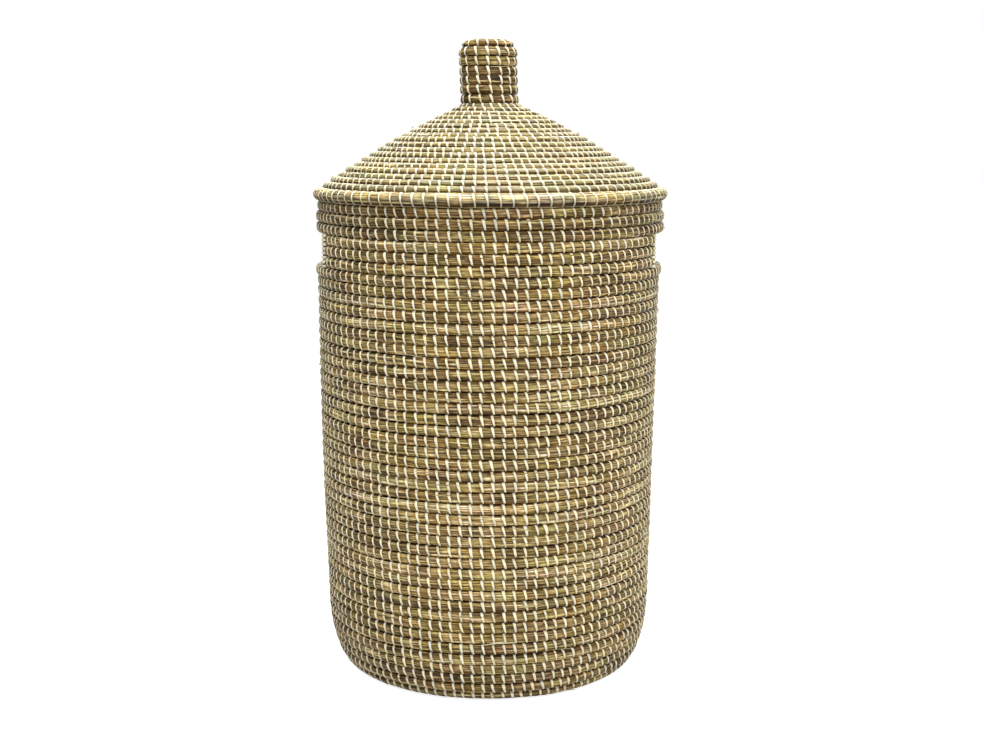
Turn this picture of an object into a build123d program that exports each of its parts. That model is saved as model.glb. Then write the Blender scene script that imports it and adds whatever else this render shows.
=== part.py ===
from build123d import *
import math
import os

# A coiled sea-grass laundry basket with a domed lid. Z is up, the floor is Z = 0, the origin is
# the centre of the base's underside, and the two hand openings face +X and -X.
# Every turn of the coil is its own ring. Sizes are in millimetres.

# Coil of the body
ROW_PITCH = 12.0
ROW_GAP = 0.3
ROW_RADIUS = (ROW_PITCH - ROW_GAP) / 2
BASE_FLATTENING = 0.25

# Half section of the body, through the middle of its coil
BASE_CENTRE_Z = ROW_RADIUS - BASE_FLATTENING
HEEL_START_RADIUS = 159.0
HEEL_WIDTH = 25.0
HEEL_RISE = 76.0
MIDDLE_RADIUS, MIDDLE_Z = 189.0, 300.0
MOUTH_RADIUS, MOUTH_Z = 191.5, 560.0
LENGTH_TOLERANCE = 1e-6

# Turns of the body, counted along that section from the centre of the base
BASE_ROWS = 13
HEEL_ROWS = 7
WALL_ROWS = 32
GRIP_ROWS = 3
RIM_ROWS = 3
FIRST_HEEL = BASE_ROWS + 1
FIRST_WALL = FIRST_HEEL + HEEL_ROWS
FIRST_GRIP = FIRST_WALL + WALL_ROWS
FIRST_RIM = FIRST_GRIP + GRIP_ROWS
TOP_ROW = FIRST_RIM + RIM_ROWS - 1
BASE_GROUPS = {"inner": (1, 4), "middle": (5, 8), "outer": (9, 13)}

# Hand openings and the wrapped posts that finish their upright ends
OPENING_WIDTH = 128.0
BINDING_WIDTH = 9.0
BINDING_DEPTH = 13.5
BINDING_CORNER = 4.0

# Coil of the lid
LID_GAP = 0.3
BEAD_RADIUS = 7.4
BEAD_RING_RADIUS = 194.7
SEAT_CLEARANCE = 0.3
LID_ROWS = 18
FIRST_ROW_ANGLE = 137.0
LAST_ROW_RADIUS, LAST_ROW_ABOVE_RIM = 31.0, 102.7
LID_BULGE = 4.1
LID_COIL = 5.05
COLLAR_ROWS = 3
COLLAR_PLAY = 3.8

# Knob
KNOB_RING_RADIUS = 28.2
KNOB_PITCH = 10.4
KNOB_ROWS = 6
CAP_RING_RADII = (22.6, 12.2)
CAP_RISES = (9.2, 9.4)
CAP_BUTTON_RADIUS = 6.6
CAP_BUTTON_RISE = 8.0


def body_section():
    """The line through the middle of the body's coil, in the plane of radius and height."""
    heel_top = (HEEL_START_RADIUS + HEEL_WIDTH, BASE_CENTRE_Z + HEEL_RISE)
    base = Line((0, BASE_CENTRE_Z), (HEEL_START_RADIUS, BASE_CENTRE_Z))
    heel = EllipticalCenterArc(
        (HEEL_START_RADIUS, heel_top[1]), HEEL_WIDTH, HEEL_RISE, start_angle=270, arc_size=90
    )
    wall = ThreePointArc(heel_top, (MIDDLE_RADIUS, MIDDLE_Z), (MOUTH_RADIUS, MOUTH_Z))
    return Wire([base, heel, wall])


def next_length(section, length):
    """The length along the section at which the next turn lies one pitch away in a straight line."""
    here = section.position_at(length, PositionMode.LENGTH)
    low, high = length, length + 2 * ROW_PITCH
    while high - low > LENGTH_TOLERANCE:
        middle = (low + high) / 2
        there = section.position_at(middle, PositionMode.LENGTH)
        low, high = (middle, high) if (there - here).length < ROW_PITCH else (low, middle)
    return high


def body_rows():
    """Radius and height of the middle of each turn, from the base's centre to the mouth."""
    section = body_section()
    places, length = [], 0.0
    for _ in range(TOP_ROW + 1):
        place = section.position_at(length, PositionMode.LENGTH)
        places.append((place.X, place.Y))
        length = next_length(section, length)
    return places


def ring(place, coil_radius):
    """One closed turn of coil."""
    radius, height = place
    return Pos(0, 0, height) * Torus(radius, coil_radius)


def button(height, coil_radius):
    """The small ball of coil at the centre of a spiral."""
    return Pos(0, 0, height) * Sphere(coil_radius)


def above_floor(solid):
    """The solid with its underside pressed flat on the floor."""
    return split(solid, bisect_by=Plane.XY, keep=Keep.TOP)


def opening_angles(mouth_radius):
    """Angles from the X axis to the middle of a binding and to the cut end of the coil beside it."""
    middle = math.degrees(math.asin((OPENING_WIDTH + BINDING_WIDTH) / 2 / mouth_radius))
    end = middle + math.degrees((BINDING_WIDTH / 2 + ROW_GAP) / mouth_radius)
    return middle, end


def half_turn(place, start):
    """The part of a turn between the two hand openings, from the angle given, on the back (+Y)."""
    radius, height = place
    arc = Torus(radius, ROW_RADIUS, major_angle=180 - 2 * start, align=None)
    return Pos(0, 0, height) * Rot(0, 0, start) * arc


def binding(radius, bottom, top, angle):
    """A wrapped post at the upright end of a hand opening."""
    section = RectangleRounded(BINDING_DEPTH, BINDING_WIDTH, BINDING_CORNER)
    post = Pos(radius, 0, bottom) * extrude(section, amount=top - bottom)
    return Rot(0, 0, angle) * post


def build_base(rows):
    parts = {"base_centre": above_floor(button(BASE_CENTRE_Z, ROW_RADIUS))}
    for name, (first, last) in BASE_GROUPS.items():
        rings = [above_floor(ring(rows[n], ROW_RADIUS)) for n in range(first, last + 1)]
        parts[f"base_rows_{name}"] = Compound(rings)
    return parts


def build_wall(rows):
    parts = {}
    for n in range(HEEL_ROWS):
        parts[f"heel_row_{n + 1}"] = ring(rows[FIRST_HEEL + n], ROW_RADIUS)
    for n in range(0, WALL_ROWS, 2):
        pair = [ring(rows[FIRST_WALL + n + step], ROW_RADIUS) for step in (0, 1)]
        parts[f"wall_rows_{n + 1:02d}_{n + 2:02d}"] = Compound(pair)
    for n in range(RIM_ROWS):
        parts[f"rim_row_{n + 1}"] = ring(rows[FIRST_RIM + n], ROW_RADIUS)
    return parts


def build_grips(rows):
    parts = {}
    middle_angle, end_angle = opening_angles(rows[FIRST_GRIP + 1][0])
    for n in range(GRIP_ROWS):
        back = half_turn(rows[FIRST_GRIP + n], end_angle)
        parts[f"grip_row_{n + 1}_back"] = back
        parts[f"grip_row_{n + 1}_front"] = Rot(0, 0, 180) * back
    bottom = rows[FIRST_GRIP - 1][1] + ROW_RADIUS + ROW_GAP
    top = rows[FIRST_RIM][1] - ROW_RADIUS - ROW_GAP
    ends = {
        "right_back": middle_angle,
        "left_back": 180 - middle_angle,
        "left_front": 180 + middle_angle,
        "right_front": -middle_angle,
    }
    for end, angle in ends.items():
        post = binding(rows[FIRST_GRIP + 1][0], bottom, top, angle)
        parts[f"opening_binding_{end}"] = post
    return parts


def lid_bead_place(rows):
    """The middle of the lid's rim bead, which sits on the top turn of the body."""
    top_radius, top_z = rows[TOP_ROW]
    reach = BEAD_RADIUS + ROW_RADIUS + SEAT_CLEARANCE
    return BEAD_RING_RADIUS, top_z + math.sqrt(reach**2 - (BEAD_RING_RADIUS - top_radius) ** 2)


def lid_row_places(bead, rim_z):
    """Radius and height of the middle of each turn of the lid's gentle dome, from rim to knob."""
    reach = BEAD_RADIUS + LID_COIL + LID_GAP
    turn = math.radians(FIRST_ROW_ANGLE)
    first = Vector(bead[0] + reach * math.cos(turn), bead[1] + reach * math.sin(turn))
    last = Vector(LAST_ROW_RADIUS, rim_z + LAST_ROW_ABOVE_RIM)
    outward = Vector(first.Y - last.Y, first.X - last.X).normalized()
    outward = Vector(abs(outward.X), abs(outward.Y))
    dome = ThreePointArc(first, (first + last) / 2 + outward * LID_BULGE, last)
    places = [dome.position_at(n / (LID_ROWS - 1)) for n in range(LID_ROWS)]
    return [(place.X, place.Y) for place in places]


def collar_places(rows, dome):
    """Three turns under the lid that drop into the mouth and locate it."""
    radius = rows[TOP_ROW][0] - ROW_RADIUS - COLLAR_PLAY - LID_COIL
    spacing = 2 * LID_COIL + LID_GAP
    top = min(z - math.sqrt(spacing**2 - (r - radius) ** 2) for r, z in dome[:2])
    return [(radius, top - n * spacing) for n in range(COLLAR_ROWS)]


def build_lid(rows):
    rim_z = rows[TOP_ROW][1] + ROW_RADIUS
    bead = lid_bead_place(rows)
    dome = lid_row_places(bead, rim_z)
    parts = {"lid_rim_bead": ring(bead, BEAD_RADIUS)}
    collar = [ring(place, LID_COIL) for place in collar_places(rows, dome)]
    parts["lid_collar_rows"] = Compound(collar)
    for n in range(0, LID_ROWS, 2):
        pair = [ring(place, LID_COIL) for place in dome[n : n + 2]]
        parts[f"lid_rows_{n + 1:02d}_{n + 2:02d}"] = Compound(pair)
    return parts, dome[-1]


def build_knob(foot):
    """The knob stands on the lid's innermost turn, whose middle is given."""
    foot_radius, foot_z = foot
    first_z = foot_z + math.sqrt(KNOB_PITCH**2 - (foot_radius - KNOB_RING_RADIUS) ** 2)
    parts = {}
    for n in range(KNOB_ROWS):
        place = (KNOB_RING_RADIUS, first_z + n * KNOB_PITCH)
        parts[f"knob_row_{n + 1}"] = ring(place, LID_COIL)
    top_z = first_z + (KNOB_ROWS - 1) * KNOB_PITCH
    cap = [(radius, top_z + rise) for radius, rise in zip(CAP_RING_RADII, CAP_RISES)]
    parts["knob_cap_rows"] = Compound([ring(place, LID_COIL) for place in cap])
    parts["knob_cap_button"] = button(top_z + CAP_BUTTON_RISE, CAP_BUTTON_RADIUS)
    return parts


def build_all():
    rows = body_rows()
    lid, foot = build_lid(rows)
    return {**build_base(rows), **build_wall(rows), **build_grips(rows), **lid, **build_knob(foot)}


os.makedirs("parts", exist_ok=True)
for name, shape in build_all().items():
    export_step(shape, f"parts/{name}.step")
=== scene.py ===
"""A coiled sea-grass laundry basket: detailed coils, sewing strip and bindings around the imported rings."""

import math

import bpy
import numpy as np
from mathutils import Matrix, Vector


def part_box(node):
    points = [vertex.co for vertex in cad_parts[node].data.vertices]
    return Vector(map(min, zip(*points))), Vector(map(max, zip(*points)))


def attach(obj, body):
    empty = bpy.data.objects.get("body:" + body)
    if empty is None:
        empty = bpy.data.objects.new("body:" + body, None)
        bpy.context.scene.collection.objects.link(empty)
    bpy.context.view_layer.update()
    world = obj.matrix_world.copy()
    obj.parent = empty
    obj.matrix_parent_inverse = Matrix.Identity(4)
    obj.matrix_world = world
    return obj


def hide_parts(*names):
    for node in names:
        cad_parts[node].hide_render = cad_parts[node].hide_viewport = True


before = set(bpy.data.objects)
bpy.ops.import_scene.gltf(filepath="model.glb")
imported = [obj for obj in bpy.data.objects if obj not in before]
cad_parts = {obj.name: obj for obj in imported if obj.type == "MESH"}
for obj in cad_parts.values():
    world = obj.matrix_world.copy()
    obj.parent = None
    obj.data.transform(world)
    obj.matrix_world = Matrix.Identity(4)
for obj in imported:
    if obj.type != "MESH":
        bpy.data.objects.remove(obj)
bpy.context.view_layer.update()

MM = 0.001
TURN = 2 * math.pi
SEED = 7

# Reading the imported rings. Points in the same place to WELD_DIGITS decimals of a metre are one point. A turn
# is closed if no gap between its points is wider than CLOSED_GAP, and a button, with no hole, if its inner
# radius is below BUTTON_SHARE of its outer. A button's ring radius is 0, below BUTTON_RADIUS.
WELD_DIGITS = 6
CLOSED_GAP = math.radians(30)
BUTTON_SHARE = 0.1
BUTTON_RADIUS = 1 * MM
BASE_TOP = 7 * MM

# How each kind of turn is pressed and coloured, by the start of its node's name. The first match counts.
# face and groove are the half thickness of its section outwards and towards the next turn, as shares of
# the ring's. square is the power that squares the section. tone is steps of lightness, and pale the share
# of paler grass, which on the lid partly paints its washed-out look under top light. lower is where the
# painted shade of the turn below starts, as the sine of the angle round the coil, and warmth is how brown
# the painted shade is. The last two scale the sewing strip's width and lightness.
FORM_KEYS = ("face", "groove", "square", "tone", "pale", "lower", "warmth", "strip_width", "strip_shade")
ROW_FORMS = (
    # The rim turns' lower tone and darker strip paint the shadow that the lid's bead casts on them.
    ("rim_row_3", 0.985, 1.01, 2.5, -0.28, 0.00, 0.66, 1.2, 1.00, 0.78),
    ("rim", 0.985, 1.04, 2.6, -0.30, 0.00, 0.66, 1.2, 1.00, 0.86),
    # The heel's strip is a little darker: painted shade low down near the floor.
    ("heel", 0.985, 1.04, 2.7, -0.12, 0.00, 0.62, 1.15, 1.00, 0.94),
    ("lid_rim", 0.985, 1.01, 2.2, 0.80, 0.12, 0.93, 0.8, 1.05, 0.93),
    ("lid_collar", 0.985, 1.01, 2.2, 0.00, 0.00, 0.55, 1.0, 1.00, 1.00),
    # The lid's top turn is darker: partly darker brown grass, partly painted shadow round the foot of the
    # knob.
    ("lid_rows_17", 1.000, 1.09, 2.2, -0.45, 0.10, 0.20, 0.6, 1.10, 0.80),
    ("lid_rows", 1.030, 1.09, 2.1, 0.28, 0.35, 0.06, 0.6, 1.22, 0.82),
    ("knob", 0.975, 1.06, 3.0, -0.86, 0.00, 0.70, 1.0, 1.05, 0.95),
    ("wall_rows_0", 0.985, 1.03, 2.7, 0.00, 0.00, 0.62, 1.15, 1.00, 1.00),
    ("wall_rows_3", 0.985, 1.03, 2.7, -0.20, 0.00, 0.62, 1.15, 1.00, 0.97),
    ("wall_rows_29", 0.985, 1.03, 2.7, -0.10, 0.00, 0.62, 1.15, 1.00, 0.97),
    ("", 0.985, 1.03, 2.7, 0.20, 0.00, 0.62, 1.15, 1.00, 1.00),
)

# Coil: strands of grass side by side round the section, and points along the turn
STRANDS = 16
STRAND_PROFILE = np.array([0.0, 1.0, 0.9])
POINTS_PER_STRAND = len(STRAND_PROFILE)
STRAND_SHARES = (0.65, 1.35)
STEP_ALONG = 3.1 * MM
FEWEST_COLUMNS = 24
STRAND_DEPTH = 0.68 * MM
DEPTH_SPREAD, DEPTH_LIMITS, DEPTH_WAVE = 0.5, (0.1, 2), 30 * MM
STRAND_LIFT, LIFT_WAVE = 0.175 * MM, 35 * MM
TWIST, TWIST_WAVE = 0.22, 150 * MM
PLUMPNESS, PLUMP_WAVE = 0.015, 60 * MM

# Where the sewing strip goes
WALL_STITCHES = 102
RIM_STITCHES = 95
FEWEST_STITCHES = 5
STITCH_SPACING = 12.0 * MM
CROWDED = 0.72
EVEN_AFTER_DROP = 0.4
EVEN_EVERY_TURN = 0.25
STITCH_JITTER = 0.45 * MM
LID_DRIFT = 0.6 * MM
STITCHING_GROUPS = ("base", "heel", "grip", "rim", "lid_rim", "lid_collar", "lid", "knob")
WALL_GROUPS = ((1, "lower"), (11, "middle"), (22, "upper"))

# Sewing strip: its section is half widths across and heights above the coil, with a root inside the coil
STRIP_WIDTH, WIDTH_SPREAD = 2.65 * MM, 0.09
STRIP_SLANT, SLANT_SPREAD = 1.5 * MM, 0.16
STRIP_TAPER = 0.32
STRIP_SIDE = np.array([-1.0, -0.55, 0.55, 1.0, 0.0])
STRIP_HEIGHT = np.array([-0.042, 0.357, 0.357, -0.042, -0.9]) * MM
STRIP_LOOP = np.radians([90, 67, 45, 22, 0, -22, -45, -67, -90, -118, -150, 180, 150, 118])
PINCH_DEPTH = 0.42 * MM
PINCH_WIDTH = 2.2 * MM
STRIP_SINK = 0.55 * PINCH_DEPTH

# Hand-made unevenness: a lean is how far the turns at each height are pushed sideways
BODY_WOBBLE, BODY_WOBBLE_LENGTH = 0.8 * MM, 0.5
LID_WOBBLE, LID_WOBBLE_LENGTH = 0.5 * MM, 0.3
WOBBLE_WAVES = (1, 1, 2, 2, 3, 4)
WOBBLE_WEIGHTS = (0.4, 1.0)
ROW_SHIFT = 0.30 * MM
STEADY_REACH = 60 * MM
STEADY_LEAST = 0.08
GRIP_BULGE = 2.0 * MM
BULGE_SPREAD = 0.06
CAP_SINK = 1.2 * MM
CAP_SPREAD = 0.9 * MM
CAP_OUTER_RING = 20 * MM
BODY_LEAN = ((0.0, 0.0), (0.25, -1.5 * MM), (0.46, -1.2 * MM), (0.51, 1.0 * MM))
LID_LEAN = ((0.55, 1.5 * MM), (0.60, 1.5 * MM), (0.635, 3.0 * MM), (0.655, 1.0 * MM), (0.72, -0.8 * MM))

# Loose ends of grass: a flat blade of four lines, narrow at its root and its tip. Angles are in degrees.
BASKET_LOOSE_ENDS = 150
LID_LOOSE_ENDS = 50
LOOSE_LEAST_RADIUS = 25 * MM
LOOSE_POINTS = 9
LOOSE_REACH = (12 * MM, 42 * MM)
LOOSE_PLACE = (-45, 45)
LOOSE_SWING = 16
LOOSE_LIFT, LOOSE_CURL = (0.2 * MM, 2.6 * MM), 2.5
LOOSE_HALF_WIDTH = (0.45 * MM, 0.8 * MM)
LOOSE_TAPER, LOOSE_ROOT, LOOSE_WIDENING = 0.75, 0.3, 4
LOOSE_SIDE = np.array([-1.0, 0.0, 1.0, 0.0])[:, None]
LOOSE_HEIGHT = np.array([0.1, 0.38, 0.1, -0.18])[:, None] * MM
LOOSE_TONE, LOOSE_TONE_SPREAD = 1.0, 0.8

# Wrapped posts of the hand openings
POST_POINTS = 20
POST_CORNER = 2 / 3.2
POST_TUCK = 1.6 * MM
POST_BANDS = 8
BAND_JITTER = 0.2 * MM
BAND_SHARE, BAND_SHARE_SPREAD = 0.36, 0.02
BAND_SHADE, BAND_SHADE_SPREAD = 0.88, 0.05
BAND_INSET = np.array([0.6, -0.15, -0.15, 0.6, 1.5]) * MM
BAND_LEVEL = np.array([-1.0, -0.6, 0.6, 1.0, 0.0])
CORE_INSET = 1.1 * MM
CORE_MIDDLE = 0.6 * MM
CORE_LEVEL = np.array([-1.0, 1.0, 1.0, -1.0])
CORE_TONE = -1.0

# Colours: steps of tone, and how far a coil's tone and hue drift along its turn
GRASS_STOPS = (-2.4, -1.3, -0.4, 0.4, 1.3, 2.4)
GRASS_COLOURS = np.array([
    (0.062, 0.036, 0.012),
    (0.145, 0.094, 0.034),
    (0.250, 0.178, 0.069),
    (0.356, 0.270, 0.109),
    (0.510, 0.410, 0.195),
    (0.790, 0.705, 0.460),
])
PALE_AND_TOP_LIT_GRASS = np.array((0.64, 0.67, 0.50))
STRIP_COLOUR = np.array((0.73, 0.68, 0.50))
COLOUR_LIMITS = (0.002, 0.95)
BUNDLE_TONE, BUNDLE_WAVE = 0.25, 90 * MM
STRAND_TONE, STRAND_WAVE = 0.42, 30 * MM
SHORT_TONE, SHORT_WAVE = 0.42, 11 * MM
FIXED_TONE = 0.78
ODD_START, ODD_PALE, ODD_DARK, ODD_WAVE = 1.6, 1.5, 0.9, 40 * MM
PINK_TINT, PINK_WAVE = np.array((0.04, 0.0, 0.02)), 70 * MM
YELLOW_TINT, YELLOW_WAVE = np.array((0.0, 0.0, -0.09)), 80 * MM
HUE_WAVE = 45 * MM
STRIP_SHADE_SPREAD = 0.06
STRIP_HUE, STRIP_HUE_SPREAD = np.array((1.0, 0.2, -1.2)), 0.03

# Shade between turns, in the valleys between strands, beside a stitch, and where the strip tucks under
GROOVE_SHADE, GROOVE_START = 0.93, 0.77
VALLEY_SHADE = 0.90
PINCH_SHADE = 0.36
TUCK_SHADE = 0.5
WARM_SHADE = np.array((1.0, 1.38, 2.5))

# Fibre materials: the noise's middle range is used, and GRAIN_RANGE sets the fibres of turns apart
NOISE_LOW, NOISE_HIGH = 0.3, 0.7
NOISE_DETAIL = 3.0
ROUGHNESS_SPREAD = 0.10
BUMP_STRENGTH = 0.6
GRAIN_RANGE = (0, 50)

# Studio. Each light is a name, a place, a size in metres and a power in watts.
AMBIENT = 0.24
FLOOR_GLOW = 0.88
FLOOR_COLOUR = (0.65, 0.65, 0.65, 1)
FLOOR_ROUGHNESS = 0.8
FLOOR_HALF = 60.0
FLOOR_DROP = 0.5 * MM
LIGHT_TARGET = (0, 0, 0.35)
LIGHTS = (
    ("key", (0.3, -1.9, 2.0), (2.4, 0.8), 52),
    ("fill", (1.6, -2.0, 0.9), (1.2, 1.6), 10),
    ("left_fill", (-1.7, -0.9, 2.3), (1.2, 1.2), 10),
    ("right_fill", (1.7, -0.6, 2.3), (1.2, 1.2), 7),
    ("top", (0.0, -0.2, 2.6), (1.4, 0.9), 78),
    ("back", (0.0, 2.4, 1.7), (2.0, 1.0), 22),
)

# Camera, measured from the top of the basket's rim
CAMERA_DISTANCE = 1.688
CAMERA_ABOVE_RIM = 0.080
CAMERA_SIDE_STEP = 0.0035
CAMERA_TILT = 9.38
CAMERA_LENS = 53.4
CAMERA_SENSOR = 36

rng = np.random.default_rng(SEED)
rim_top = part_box("rim_row_3")[1].z


# ---------------------------------------------------------------- reading the frame


def islands(mesh):
    """Each vertex's place, and a label shared by the vertices of each connected piece.

    Vertices in the same place count as one, so the flat end of a coil belongs to its side.
    """
    points = np.empty(len(mesh.vertices) * 3)
    mesh.vertices.foreach_get("co", points)
    points = points.reshape(-1, 3)
    _, place = np.unique(np.round(points, WELD_DIGITS), axis=0, return_inverse=True)
    place = place.ravel()
    edges = np.empty(len(mesh.edges) * 2, dtype=np.int64)
    mesh.edges.foreach_get("vertices", edges)
    edges = place[edges].reshape(-1, 2)
    labels = np.arange(place.max() + 1)
    while True:
        lowest = np.minimum(labels[edges[:, 0]], labels[edges[:, 1]])
        before = labels.copy()
        np.minimum.at(labels, edges[:, 0], lowest)
        np.minimum.at(labels, edges[:, 1], lowest)
        labels = labels[labels]
        if (labels == before).all():
            return points, labels[place]


def rows_of(node):
    """Every turn in a CAD node: its radius, height, coil radius and the angles where it starts and ends."""
    points, labels = islands(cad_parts[node].data)
    rows = []
    for label in np.unique(labels):
        turn = points[labels == label]
        radii = np.hypot(turn[:, 0], turn[:, 1])
        angles = np.sort(np.arctan2(turn[:, 1], turn[:, 0]))
        is_button = radii.min() < BUTTON_SHARE * radii.max()
        thickness = radii.max() if is_button else (radii.max() - radii.min()) / 2
        gaps = np.diff(np.append(angles, angles[0] + TURN))
        widest = gaps.argmax()
        closed = gaps[widest] < CLOSED_GAP
        rows.append({
            "node": node,
            "radius": 0.0 if is_button else (radii.max() + radii.min()) / 2,
            "height": turn[:, 2].max() - thickness,
            "thickness": thickness,
            "closed": closed,
            "start": 0.0 if closed else angles[(widest + 1) % len(angles)],
            "sweep": TURN if closed else TURN - gaps[widest],
        })
    return rows


def chain(prefixes, key):
    """The turns of every node with one of these prefixes, in order along the coil."""
    nodes = sorted(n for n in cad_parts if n.startswith(prefixes))
    return sorted((row for node in nodes for row in rows_of(node)), key=key)


def with_frames(rows):
    """Adds to each turn the direction to the next turn, the outward normal and the distance travelled."""
    places = np.array([(row["radius"], row["height"]) for row in rows])
    ahead = np.vstack([places[1:], places[-1:]])
    behind = np.vstack([places[:1], places[:-1]])
    travelled = 0.0
    for n, row in enumerate(rows):
        direction = (ahead[n] - behind[n]) / np.linalg.norm(ahead[n] - behind[n])
        travelled += np.linalg.norm(places[n] - behind[n])
        row["along"] = direction
        row["out"] = np.array([direction[1], -direction[0]])
        row["travelled"] = travelled
    return rows


def body_order(row):
    """Base turns come first, from the middle outwards, then the wall from the floor up."""
    above_base = row["height"] > BASE_TOP
    return (above_base, row["height"] if above_base else row["radius"])


def read_rows():
    """The turns of the body, of the lid with its knob, and of the collar under the lid."""
    body = chain(("base_", "heel_", "wall_", "grip_", "rim_"), body_order)
    dome = chain(("lid_rows",), lambda row: -row["radius"])
    knob = chain(("knob_row",), lambda row: row["height"])
    cap = chain(("knob_cap",), lambda row: -row["radius"])
    bead = chain(("lid_rim_bead",), lambda row: row["height"])
    collar = chain(("lid_collar",), lambda row: row["height"])
    return with_frames(body), with_frames(bead + dome + knob + cap), with_frames(collar)


# ---------------------------------------------------------------- smooth random values


def smooth_noise(lines, count, waves):
    """Smooth random values round a turn, of unit spread, with no more than this many waves in them."""
    waves = int(max(1, min(waves, count // 2 - 1)))
    spectrum = np.zeros((lines, count // 2 + 1), dtype=complex)
    spectrum[:, 1 : waves + 1] = rng.normal(size=(lines, waves)) + 1j * rng.normal(size=(lines, waves))
    values = np.fft.irfft(spectrum, count, axis=1)
    return values / values.std(axis=1, keepdims=True)


def drift(row, lines, columns, wavelength):
    """Smooth random values along a turn that change no faster than this wavelength."""
    return smooth_noise(lines, columns, row["length"] / wavelength)


def make_wobble(scale, wavelength):
    """A gentle field that pushes neighbouring turns out of true together: angle, distance -> (dr, dz)."""
    waves = [
        (k, rng.uniform(-TURN, TURN) / wavelength, rng.uniform(0, TURN, 2), rng.uniform(*WOBBLE_WEIGHTS) / k)
        for k in WOBBLE_WAVES
    ]
    total = math.sqrt(sum(weight**2 for *_, weight in waves))

    def wobble(angle, travelled):
        radial = sum(w * np.sin(k * angle + m * travelled + p[0]) for k, m, p, w in waves)
        upward = sum(w * np.sin(k * angle + m * travelled + p[1]) for k, m, p, w in waves)
        return radial * scale / total, upward * scale / total / 2

    return wobble


# ---------------------------------------------------------------- where the stitches go


def evened(angles, share):
    """The angles moved part of the way towards even spacing."""
    before = np.roll(angles, 1)
    after = np.roll(angles, -1)
    before[0] -= TURN
    after[-1] += TURN
    return angles + share * ((before + after) / 2 - angles)


def stitch_lines(rows, count, shift):
    """Stitch angles for each turn of a chain that runs from its widest turn inwards.

    Stitches line up from turn to turn, and one is left out wherever two come too close.
    """
    angles = np.arange(count) * TURN / count
    for row in rows:
        radius = max(row["radius"], BUTTON_RADIUS)
        angles = angles + shift / radius
        while len(angles) > FEWEST_STITCHES:
            gaps = np.diff(np.append(angles, angles[0] + TURN))
            closest = gaps.argmin()
            if gaps[closest] * radius > CROWDED * STITCH_SPACING:
                break
            angles = np.delete(angles, (closest + 1) % len(angles))
            angles = evened(angles, EVEN_AFTER_DROP)
        angles = evened(angles, EVEN_EVERY_TURN)
        jitter = rng.normal(0, STITCH_JITTER / radius, len(angles))
        row["stitches"] = np.sort(angles + jitter)
        row["slants"] = STRIP_SLANT * rng.normal(1.0, SLANT_SPREAD, len(angles))
        row["widths"] = STRIP_WIDTH * row["strip_width"] * rng.normal(1.0, WIDTH_SPREAD, len(angles))


def stitch_mask(row):
    """Which stitches lie on this turn, and not across a hand opening."""
    if row["closed"]:
        return np.ones(len(row["stitches"]), dtype=bool)
    margin = STRIP_WIDTH / 2 / row["radius"]
    place = np.mod(row["stitches"] - row["start"], TURN)
    return (place > margin) & (place < row["sweep"] - margin)


# ---------------------------------------------------------------- surfaces of a coil


def section_radius(row, theta):
    """Distance from the middle of the coil to its surface: a circle pressed a little square."""
    face = row["thickness"] * row["face"]
    groove = row["thickness"] * row["groove"]
    power = row["square"]
    return (np.abs(np.cos(theta) / face) ** power + np.abs(np.sin(theta) / groove) ** power) ** (-1 / power)


def placed(row, angle, theta, distance):
    """Points in space from the angle round the basket, the angle round the coil and the distance out.

    The lid's seat stays true, and the turns round the grips bulge where the hands go.
    """
    shift_r, shift_z = row["wobble"](angle, row["travelled"])
    steady = np.clip(abs(row["height"] - rim_top) / STEADY_REACH, STEADY_LEAST, 1)
    bulge = row["bulge"] * np.exp(-(((np.abs(np.cos(angle)) - 1) / BULGE_SPREAD) ** 2))
    across = distance * np.cos(theta)
    along = distance * np.sin(theta)
    radius = row["radius"] + shift_r * steady + bulge + row["out"][0] * across + row["along"][0] * along
    height = row["height"] + shift_z * steady + row["out"][1] * across + row["along"][1] * along
    if row["on_floor"]:
        height = np.maximum(height, 0.0)
    lean = np.interp(row["height"], *zip(*row["lean"]))
    return np.stack([radius * np.cos(angle) + lean, radius * np.sin(angle), height], axis=-1)


def pinch(row, angle, theta):
    """How far the sewing strip pulls the coil in, at these angles round the basket and the coil."""
    if row["radius"] < BUTTON_RADIUS:
        return np.zeros(np.broadcast(angle, theta).shape)
    first = row["stitches"][0]
    slant = -STRIP_SLANT * np.sin(theta) / row["radius"]
    place = np.mod(angle - slant - first, TURN)
    offsets = np.mod(row["stitches"] - first, TURN)
    nearest = np.searchsorted(offsets, place)
    left = place - offsets[nearest - 1]
    right = np.append(offsets, TURN)[nearest] - place
    gap = np.minimum(np.abs(left), np.abs(right)) * row["radius"]
    return np.exp(-((gap / PINCH_WIDTH) ** 2))


def per_line(values):
    """Each strand's values, repeated for the lines of points that make the strand."""
    return np.repeat(values, POINTS_PER_STRAND, axis=0)


def grass_colour(tone):
    """The colour of grass at each tone, from dark and brown to light and straw-coloured."""
    return np.stack([np.interp(tone, GRASS_STOPS, GRASS_COLOURS[:, c]) for c in range(3)], axis=-1)


def coil_shade(row, theta, valley):
    """How light each point of a coil is: dark in grooves, in valleys between strands and beside stitches."""
    rise = np.sin(theta)
    above = np.clip((rise - GROOVE_START) / (1 - GROOVE_START), 0, 1)
    below = np.clip((-rise - row["lower"]) / (1 - row["lower"]), 0, 1)
    shade = (1 - GROOVE_SHADE * np.maximum(above, below)) * (1 - VALLEY_SHADE * valley)
    return shade * (1 - PINCH_SHADE * row["squeeze"])


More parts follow.
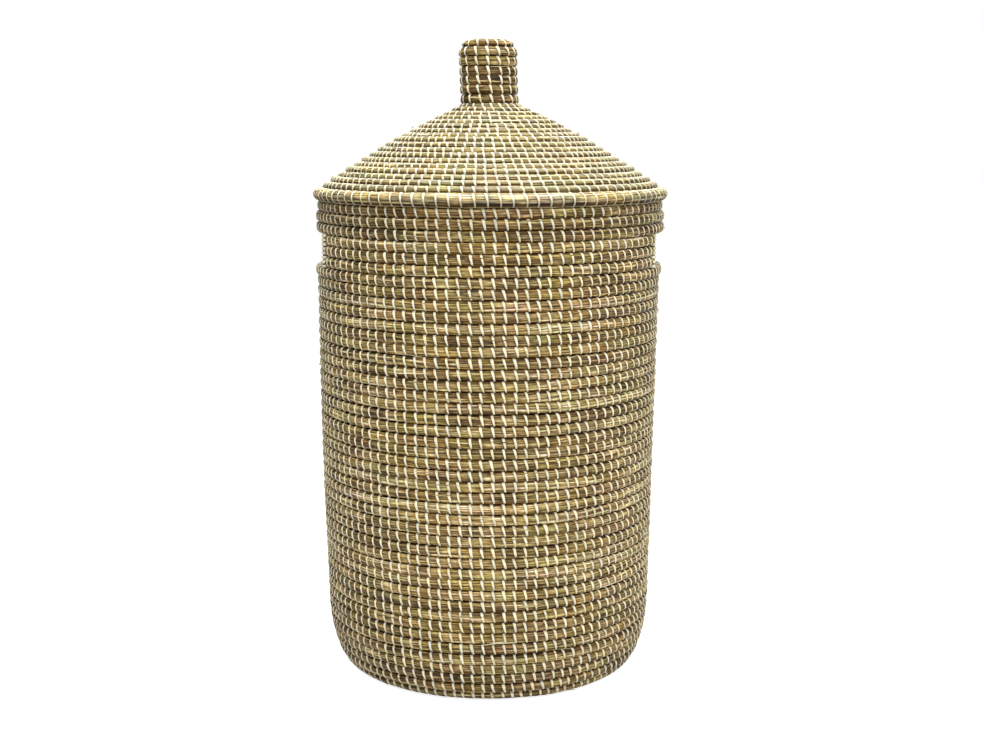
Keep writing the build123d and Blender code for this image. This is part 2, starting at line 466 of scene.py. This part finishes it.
def coil_colour(row, columns, theta, valley):
    """Colour of each point of a coil: bundle, strand and hue drift along the turn, and grooves get painted
    shade.
    """
    bundle = drift(row, 1, columns, BUNDLE_WAVE)
    strand = drift(row, STRANDS, columns, STRAND_WAVE)
    short = drift(row, STRANDS, columns, SHORT_WAVE)
    odd = drift(row, STRANDS, columns, ODD_WAVE)
    pink = drift(row, STRANDS, columns, HUE_WAVE) + drift(row, 1, columns, PINK_WAVE)
    yellow = drift(row, STRANDS, columns, HUE_WAVE) + drift(row, 1, columns, YELLOW_WAVE)
    fixed = rng.normal(size=(STRANDS, 1))
    tone = row["tone"] + BUNDLE_TONE * bundle + STRAND_TONE * strand + SHORT_TONE * short + FIXED_TONE * fixed
    tone = tone + ODD_PALE * np.clip(odd - ODD_START, 0, 1) - ODD_DARK * np.clip(-ODD_START - odd, 0, 1)
    tone, pink, yellow = per_line(tone), per_line(pink), per_line(yellow)
    tint = 1 + pink[..., None] * PINK_TINT + yellow[..., None] * YELLOW_TINT
    # The pale share mixes in paler grass; on the lid it partly paints the washed-out look of top light.
    colour = (grass_colour(tone) * (1 - row["pale"]) + PALE_AND_TOP_LIT_GRASS * row["pale"]) * tint
    warm = 1 + (WARM_SHADE - 1) * row["warmth"]
    return np.clip(colour * coil_shade(row, theta, valley)[..., None] ** warm, *COLOUR_LIMITS)


def closed_grid(lines, columns, wrap):
    """Quads of a tube, with lines round it and columns along it, closed on itself if wrap is set."""
    line = np.arange(lines)
    column = np.arange(columns if wrap else columns - 1)
    line, column = np.meshgrid(line, column, indexing="ij")
    next_line = (line + 1) % lines
    next_column = (column + 1) % columns
    quads = [line * columns + column, line * columns + next_column,
             next_line * columns + next_column, next_line * columns + column]
    return np.stack(quads, axis=-1).reshape(-1, 4)


def strand_angles(row, columns):
    """The angle round the coil of every line of points: strands differ in width and drift round together."""
    shares = rng.uniform(*STRAND_SHARES, STRANDS)
    shares = shares / shares.sum() * TURN
    fractions = np.arange(POINTS_PER_STRAND) / POINTS_PER_STRAND
    theta = (np.cumsum(shares)[:, None] + shares[:, None] * fractions).reshape(-1, 1)
    return theta + TWIST * drift(row, 1, columns, TWIST_WAVE)


def coil_surface(row):
    """One turn of coil as points, quads, colours and grain coordinates."""
    reach = max(row["radius"], row["thickness"])
    row["length"] = reach * row["sweep"]
    columns = max(FEWEST_COLUMNS, int(row["length"] / STEP_ALONG))
    steps = columns if row["closed"] else columns - 1
    angle = row["start"] + np.arange(columns)[None, :] * row["sweep"] / steps
    theta = strand_angles(row, columns)
    ridge = np.tile(STRAND_PROFILE, STRANDS)[:, None]
    depth = per_line(np.clip(1 + DEPTH_SPREAD * drift(row, STRANDS, columns, DEPTH_WAVE), *DEPTH_LIMITS))
    lift = per_line(drift(row, STRANDS, columns, LIFT_WAVE))
    plump = 1 + PLUMPNESS * drift(row, 1, columns, PLUMP_WAVE)
    row["squeeze"] = pinch(row, angle, theta)
    distance = section_radius(row, theta) * plump - STRAND_DEPTH * depth * (1 - ridge)
    distance = distance + STRAND_LIFT * lift * ridge - PINCH_DEPTH * row["squeeze"]
    points = placed(row, angle, theta, distance)
    valley = (1 - ridge) * np.clip(depth, 0, 1)
    colours = coil_colour(row, columns, theta, valley)
    grain = np.empty(points.shape)
    grain[..., 0] = (angle - row["start"]) * reach
    grain[..., 1] = theta * row["thickness"]
    grain[..., 2] = rng.uniform(*GRAIN_RANGE)
    lines = STRANDS * POINTS_PER_STRAND
    quads = closed_grid(lines, columns, row["closed"])
    points, colours, grain = (a.reshape(-1, 3) for a in (points, colours, grain))
    if row["closed"]:
        return points, quads, colours, grain
    return capped(points, quads, colours, grain, lines, columns)


def capped(points, quads, colours, grain, lines, columns):
    """Closes both ends of a tube with fans of narrow quads round a middle point."""
    for column, flip in ((0, True), (columns - 1, False)):
        ring = np.arange(lines) * columns + column
        middle = len(points)
        points = np.vstack([points, points[ring].mean(axis=0)])
        colours = np.vstack([colours, colours[ring].mean(axis=0)])
        grain = np.vstack([grain, grain[ring].mean(axis=0)])
        pairs = np.stack([ring[0::2], ring[1::2], np.roll(ring[0::2], -1)], axis=-1)
        fan = np.column_stack([pairs, np.full(len(pairs), middle)])
        quads = np.vstack([quads, fan[:, ::-1] if flip else fan])
    return points, quads, colours, grain


def strip_surface(row):
    """Every stitch of one turn: a flat strip looped round the coil, slanting across its face."""
    keep = stitch_mask(row)
    stitches, slants, widths = (row[key][keep][:, None, None] for key in ("stitches", "slants", "widths"))
    count = len(stitches)
    shape = (count, len(STRIP_LOOP), len(STRIP_SIDE))
    turn = STRIP_LOOP[None, :, None]
    offset = STRIP_SIDE * widths / 2 * (1 + STRIP_TAPER * np.sin(turn)) - slants * np.sin(turn)
    out = section_radius(row, turn) - STRIP_SINK + STRIP_HEIGHT
    reach = row["radius"] + row["out"][0] * out * np.cos(turn) + row["along"][0] * out * np.sin(turn)
    points = placed(row, stitches + offset / reach, turn, out)
    loop = closed_grid(len(STRIP_LOOP), len(STRIP_SIDE), True)
    quads = (loop[None] + (np.arange(count) * shape[1] * shape[2])[:, None, None]).reshape(-1, 4)
    tucked = np.clip(-np.sin(turn), 0, 1)[..., None]
    shade = row["strip_shade"] * rng.normal(1.0, STRIP_SHADE_SPREAD, (count, 1, 1, 1))
    warm = rng.normal(0.0, STRIP_HUE_SPREAD, (count, 1, 1, 1)) * STRIP_HUE
    colours = STRIP_COLOUR * shade * (1 - TUCK_SHADE * tucked**3) * (1 + warm)
    colours = np.clip(np.broadcast_to(colours, (*shape, 3)), *COLOUR_LIMITS)
    grain = np.zeros((*shape, 3))
    grain[..., 0] = turn * row["thickness"]
    grain[..., 1] = STRIP_SIDE * STRIP_WIDTH / 2
    grain[..., 2] = rng.uniform(*GRAIN_RANGE, (count, 1, 1))
    return points.reshape(-1, 3), quads, colours.reshape(-1, 3), grain.reshape(-1, 3)


def loose_end(row):
    """One end of grass that has worked free: it lies along its turn and lifts away at the tip."""
    steps = np.linspace(0, 1, LOOSE_POINTS)[None, :]
    start = rng.uniform(0, TURN)
    reach = rng.uniform(*LOOSE_REACH) * rng.choice([-1, 1])
    angle = start + steps * reach / row["radius"]
    theta = math.radians(rng.uniform(*LOOSE_PLACE)) + steps * math.radians(rng.normal(0, LOOSE_SWING))
    lift = rng.uniform(*LOOSE_LIFT) * steps**LOOSE_CURL
    shape = (1 - LOOSE_TAPER * steps**3) * np.minimum(1, LOOSE_ROOT + LOOSE_WIDENING * steps)
    half_width = rng.uniform(*LOOSE_HALF_WIDTH) * shape
    distance = section_radius(row, theta) + lift + LOOSE_HEIGHT
    theta = theta + LOOSE_SIDE * half_width / row["thickness"]
    points = placed(row, np.broadcast_to(angle, theta.shape), theta, distance)
    tone = row["tone"] + rng.normal(LOOSE_TONE, LOOSE_TONE_SPREAD)
    colour = grass_colour(np.full(theta.shape, tone))
    along = np.broadcast_to(steps * reach, theta.shape)
    grain = np.stack([along, LOOSE_SIDE * half_width, np.full(theta.shape, start)], axis=-1)
    points, colour, grain = (a.reshape(-1, 3) for a in (points, colour, grain))
    lines = len(LOOSE_SIDE)
    quads = closed_grid(lines, LOOSE_POINTS, False)
    if reach < 0:
        quads = quads[:, ::-1]
    return capped(points, quads, colour, grain, lines, LOOSE_POINTS)


# ---------------------------------------------------------------- mesh pieces


def joined(surfaces):
    """Several surfaces as one."""
    points, quads, colours, grain = zip(*surfaces)
    offsets = np.cumsum([0] + [len(p) for p in points[:-1]])
    quads = np.vstack([q + offset for q, offset in zip(quads, offsets)])
    return np.vstack(points), quads, np.vstack(colours), np.vstack(grain)


def add_piece(name, surfaces, material, body, stands_for=()):
    """A smooth mesh object from surfaces, riding on a body."""
    points, quads, colours, grain = joined(surfaces)
    mesh = bpy.data.meshes.new(name)
    mesh.vertices.add(len(points))
    mesh.vertices.foreach_set("co", points.ravel())
    mesh.loops.add(quads.size)
    mesh.loops.foreach_set("vertex_index", quads.ravel())
    mesh.polygons.add(len(quads))
    mesh.polygons.foreach_set("loop_start", np.arange(0, quads.size, 4))
    mesh.polygons.foreach_set("use_smooth", np.ones(len(quads), dtype=bool))
    tint = mesh.attributes.new("tint", "FLOAT_COLOR", "POINT")
    tint.data.foreach_set("color", np.column_stack([colours, np.ones(len(colours))]).ravel())
    mesh.attributes.new("grain", "FLOAT_VECTOR", "POINT").data.foreach_set("vector", grain.ravel())
    mesh.update(calc_edges=True)
    mesh.materials.append(material)
    piece = bpy.data.objects.new(name, mesh)
    bpy.context.scene.collection.objects.link(piece)
    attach(piece, body)
    if stands_for:
        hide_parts(*stands_for)


def add_loose_ends(name, rows, count, material, body):
    """Loose ends of grass on the whole turns that are clear of the lid's seat and wide enough."""
    rows = [r for r in rows if r["closed"] and not r["at_seam"] and r["radius"] > LOOSE_LEAST_RADIUS]
    share = np.array([row["radius"] for row in rows])
    chosen = rng.choice(len(rows), count, p=share / share.sum())
    add_piece(name, [loose_end(rows[n]) for n in chosen], material, body)


# ---------------------------------------------------------------- materials


def new_material(name):
    """A node material: itself, its nodes, its links and its shader."""
    material = bpy.data.materials.new(name)
    material.use_nodes = True
    nodes = material.node_tree.nodes
    return material, nodes, material.node_tree.links, nodes["Principled BSDF"]


def attribute(nodes, name):
    """A node that reads one of the mesh's own attributes."""
    node = nodes.new("ShaderNodeAttribute")
    node.attribute_name = name
    return node


def stretched_noise(nodes, links, grain, scale):
    """Noise drawn out along the fibres: scale is waves per metre along, across and between turns."""
    mapping = nodes.new("ShaderNodeMapping")
    mapping.inputs["Scale"].default_value = scale
    links.new(grain.outputs["Vector"], mapping.inputs["Vector"])
    noise = nodes.new("ShaderNodeTexNoise")
    noise.inputs["Scale"].default_value = 1.0
    noise.inputs["Detail"].default_value = NOISE_DETAIL
    links.new(mapping.outputs["Vector"], noise.inputs["Vector"])
    return noise


def spread(nodes, links, noise, low, high):
    """The noise's middle range stretched to run from low to high."""
    node = nodes.new("ShaderNodeMapRange")
    node.inputs["From Min"].default_value = NOISE_LOW
    node.inputs["From Max"].default_value = NOISE_HIGH
    node.inputs["To Min"].default_value = low
    node.inputs["To Max"].default_value = high
    links.new(noise.outputs["Fac"], node.inputs["Value"])
    return node


def fibre_material(name, scale, contrast, roughness, specular, bump_distance):
    """Tinted fibres: the mesh gives the colour, and fine noise along the grain gives streaks and relief."""
    material, nodes, links, shader = new_material(name)
    tint = attribute(nodes, "tint")
    grain = attribute(nodes, "grain")
    fine = stretched_noise(nodes, links, grain, scale)
    streak = spread(nodes, links, fine, 1 - contrast, 1 + contrast)
    colour = nodes.new("ShaderNodeVectorMath")
    colour.operation = "SCALE"
    links.new(tint.outputs["Color"], colour.inputs[0])
    links.new(streak.outputs["Result"], colour.inputs["Scale"])
    links.new(colour.outputs["Vector"], shader.inputs["Base Color"])
    rough = spread(nodes, links, fine, roughness + ROUGHNESS_SPREAD, roughness - ROUGHNESS_SPREAD)
    links.new(rough.outputs["Result"], shader.inputs["Roughness"])
    bump = nodes.new("ShaderNodeBump")
    bump.inputs["Strength"].default_value = BUMP_STRENGTH
    bump.inputs["Distance"].default_value = bump_distance
    links.new(fine.outputs["Fac"], bump.inputs["Height"])
    links.new(bump.outputs["Normal"], shader.inputs["Normal"])
    shader.inputs["Specular IOR Level"].default_value = specular
    return material


def grass_material():
    """Dull dried grass with strong streaks."""
    return fibre_material(
        "sea_grass",
        scale=(45.0, 1000.0, 1.0),
        contrast=0.50,
        roughness=0.58,
        specular=0.18,
        bump_distance=0.25 * MM,
    )


def strip_material():
    """Smooth, slightly glossy leaf strip with faint streaks."""
    return fibre_material(
        "sewing_strip",
        scale=(120.0, 1500.0, 1.0),
        contrast=0.07,
        roughness=0.40,
        specular=0.45,
        bump_distance=0.08 * MM,
    )


# ---------------------------------------------------------------- bindings at the hand openings


def binding_frame(node):
    """The middle of a post, its outward, sideways and upward directions, and its half size along each."""
    points, _ = islands(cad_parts[node].data)
    middle = (points.min(axis=0) + points.max(axis=0)) / 2
    out = np.array([middle[0], middle[1], 0.0])
    out /= np.linalg.norm(out)
    axes = np.stack([out, (-out[1], out[0], 0.0), (0.0, 0.0, 1.0)])
    return middle, axes, np.abs((points - middle) @ axes.T).max(axis=0)


def post_ring(post, inset, level, colour):
    """A closed band round a post: inset and level give the depth and height of each of its lines."""
    middle, axes, size = post
    turn = np.arange(POST_POINTS)[:, None] * TURN / POST_POINTS
    out = np.sign(np.cos(turn)) * np.abs(np.cos(turn)) ** POST_CORNER
    side = np.sign(np.sin(turn)) * np.abs(np.sin(turn)) ** POST_CORNER
    shape = (POST_POINTS, len(inset))
    level = np.broadcast_to(level, shape)
    local = np.stack([out * (size[0] - inset), side * (size[1] - inset), level], axis=-1)
    start = np.full(shape, rng.uniform(*GRAIN_RANGE))
    grain = np.stack([np.broadcast_to(turn * size[1], shape), level, start], axis=-1)
    points = (middle + local @ axes).reshape(-1, 3)
    colours = np.broadcast_to(colour, local.shape).reshape(-1, 3)
    return points, closed_grid(*shape, True), colours, grain.reshape(-1, 3)


def binding_surfaces(node):
    """A post of grass wrapped in level bands of strip: the core's surface, and the bands' surfaces."""
    post = binding_frame(node)
    half_width, half_height = post[2][1], post[2][2] + POST_TUCK
    pitch = 2 * half_height / POST_BANDS
    bands = []
    for band in range(POST_BANDS):
        level = (band + 0.5) * pitch - half_height + rng.normal(0, BAND_JITTER)
        half = pitch * rng.normal(BAND_SHARE, BAND_SHARE_SPREAD)
        colour = STRIP_COLOUR * rng.normal(BAND_SHADE, BAND_SHADE_SPREAD)
        bands.append(post_ring(post, BAND_INSET, level + half * BAND_LEVEL, colour))
    inner = half_width - CORE_MIDDLE
    core_inset = np.array([CORE_INSET, CORE_INSET, inner, inner])
    core = post_ring(post, core_inset, half_height * CORE_LEVEL, grass_colour(CORE_TONE))
    return core, bands


# ---------------------------------------------------------------- build the object


def prepare(rows, wobble, lean):
    """Gives each turn its form, its unevenness and its small shifts out of place."""
    for row in rows:
        node = row["node"]
        form = next(f for f in ROW_FORMS if node.startswith(f[0]))
        row.update(zip(FORM_KEYS, form[1:]))
        row["wobble"] = wobble
        row["lean"] = lean
        row["bulge"] = 0.0
        row["at_seam"] = node in ("rim_row_3", "lid_rim_bead", "lid_collar_rows")
        row["on_floor"] = node.startswith("base")
        if not row["at_seam"] and not row["on_floor"]:
            row["height"] += rng.normal(0, ROW_SHIFT)
        if node.startswith("knob_cap"):
            row["height"] -= CAP_SINK
        if node == "knob_cap_rows" and row["radius"] > CAP_OUTER_RING:
            row["radius"] += CAP_SPREAD


def bulge_grips(body):
    """The turns above and below the hand openings stand out a little where the hands go."""
    walls = [row for row in body if row["node"].startswith("wall")]
    grips = [row for row in body if row["node"] in ("rim_row_1", "rim_row_2")]
    for row in (max(walls, key=lambda row: row["height"]), *grips):
        row["bulge"] = GRIP_BULGE


def stitching_group(node):
    """The name of the stitching piece that a node's stitches belong to."""
    if node.startswith("wall_rows"):
        first_turn = int(node.split("_")[2])
        return "wall_stitching_" + [group for start, group in WALL_GROUPS if first_turn >= start][-1]
    return next(group for group in STITCHING_GROUPS if node.startswith(group)) + "_stitching"


def build_coils(rows, body, grass, strip):
    """A coil piece for every CAD node of these turns, and a stitching piece for every group."""
    coils, stitches = {}, {}
    for row in rows:
        coils.setdefault(row["node"], []).append(coil_surface(row))
        if row["radius"] > BUTTON_RADIUS:
            stitches.setdefault(stitching_group(row["node"]), []).append(strip_surface(row))
    for node, surfaces in coils.items():
        add_piece(f"{node}_coil", surfaces, grass, body, (node,))
    for group, surfaces in stitches.items():
        add_piece(group, surfaces, strip, body)


def build_object():
    """Every visible piece of the basket and its lid."""
    body, lid, collar = read_rows()
    grass = grass_material()
    strip = strip_material()
    body_wobble = make_wobble(BODY_WOBBLE, BODY_WOBBLE_LENGTH)
    lid_wobble = make_wobble(LID_WOBBLE, LID_WOBBLE_LENGTH)
    prepare(body, body_wobble, BODY_LEAN)
    prepare(lid, lid_wobble, LID_LEAN)
    prepare(collar, lid_wobble, LID_LEAN)
    stitch_lines(body[::-1], WALL_STITCHES, 0.0)
    stitch_lines(lid, RIM_STITCHES, -LID_DRIFT)
    stitch_lines(collar, WALL_STITCHES, 0.0)
    bulge_grips(body)
    build_coils(body, "basket", grass, strip)
    build_coils(lid, "lid", grass, strip)
    build_coils(collar, "lid", grass, strip)
    off_floor = [row for row in body if not row["on_floor"]]
    add_loose_ends("basket_loose_strands", off_floor, BASKET_LOOSE_ENDS, grass, "basket")
    add_loose_ends("lid_loose_strands", lid, LID_LOOSE_ENDS, grass, "lid")
    for node in sorted(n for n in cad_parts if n.startswith("opening_binding")):
        core, bands = binding_surfaces(node)
        add_piece(f"{node}_core", [core], grass, "basket")
        add_piece(f"{node}_wraps", bands, strip, "basket", (node,))


# ---------------------------------------------------------------- floor, lights and camera


def add_floor():
    """A pale floor that the camera sees as plain white, except for soft shadow."""
    mesh = bpy.data.meshes.new("floor")
    corners = [(x * FLOOR_HALF, y * FLOOR_HALF, 0) for x, y in ((-1, -1), (1, -1), (1, 1), (-1, 1))]
    mesh.from_pydata(corners, [], [(0, 1, 2, 3)])
    material, nodes, links, shader = new_material("floor")
    shader.inputs["Base Color"].default_value = FLOOR_COLOUR
    shader.inputs["Roughness"].default_value = FLOOR_ROUGHNESS
    shader.inputs["Emission Color"].default_value = (1, 1, 1, 1)
    path = nodes.new("ShaderNodeLightPath")
    glow = nodes.new("ShaderNodeMath")
    glow.operation = "MULTIPLY"
    glow.inputs[1].default_value = FLOOR_GLOW
    links.new(path.outputs["Is Camera Ray"], glow.inputs[0])
    links.new(glow.outputs["Value"], shader.inputs["Emission Strength"])
    mesh.materials.append(material)
    floor = bpy.data.objects.new("floor", mesh)
    floor.location.z = -FLOOR_DROP
    bpy.context.scene.collection.objects.link(floor)


def add_light(name, place, size, power):
    """A rectangular soft box aimed at the middle of the basket."""
    data = bpy.data.lights.new(name, "AREA")
    data.shape = "RECTANGLE"
    data.size, data.size_y = size
    data.energy = power
    light = bpy.data.objects.new(name, data)
    light.location = place
    direction = Vector(LIGHT_TARGET) - Vector(place)
    light.rotation_euler = direction.to_track_quat("-Z", "Y").to_euler()
    bpy.context.scene.collection.objects.link(light)


def add_world():
    """A soft white surround that the camera sees as plain white."""
    world = bpy.data.worlds.new("studio")
    bpy.context.scene.world = world
    world.use_nodes = True
    nodes, links = world.node_tree.nodes, world.node_tree.links
    seen = nodes["Background"]
    seen.inputs["Color"].default_value = (1, 1, 1, 1)
    lit = nodes.new("ShaderNodeBackground")
    lit.inputs["Strength"].default_value = AMBIENT
    path = nodes.new("ShaderNodeLightPath")
    mix = nodes.new("ShaderNodeMixShader")
    links.new(path.outputs["Is Camera Ray"], mix.inputs["Fac"])
    links.new(lit.outputs["Background"], mix.inputs[1])
    links.new(seen.outputs["Background"], mix.inputs[2])
    links.new(mix.outputs["Shader"], nodes["World Output"].inputs["Surface"])


def add_stage():
    """The floor, the lights and the surround."""
    add_floor()
    for light in LIGHTS:
        add_light(*light)
    add_world()


def add_camera():
    """A camera in front of the basket, a little above its rim and tilted down."""
    data = bpy.data.cameras.new("camera")
    data.lens = CAMERA_LENS
    data.sensor_width = CAMERA_SENSOR
    camera = bpy.data.objects.new("camera", data)
    camera.location = (CAMERA_SIDE_STEP, -CAMERA_DISTANCE, rim_top + CAMERA_ABOVE_RIM)
    camera.rotation_euler = (math.radians(90 - CAMERA_TILT), 0, 0)
    bpy.context.scene.collection.objects.link(camera)
    bpy.context.scene.camera = camera


build_object()
add_stage()
add_camera()
bpy.context.scene.view_settings.view_transform = "Standard"
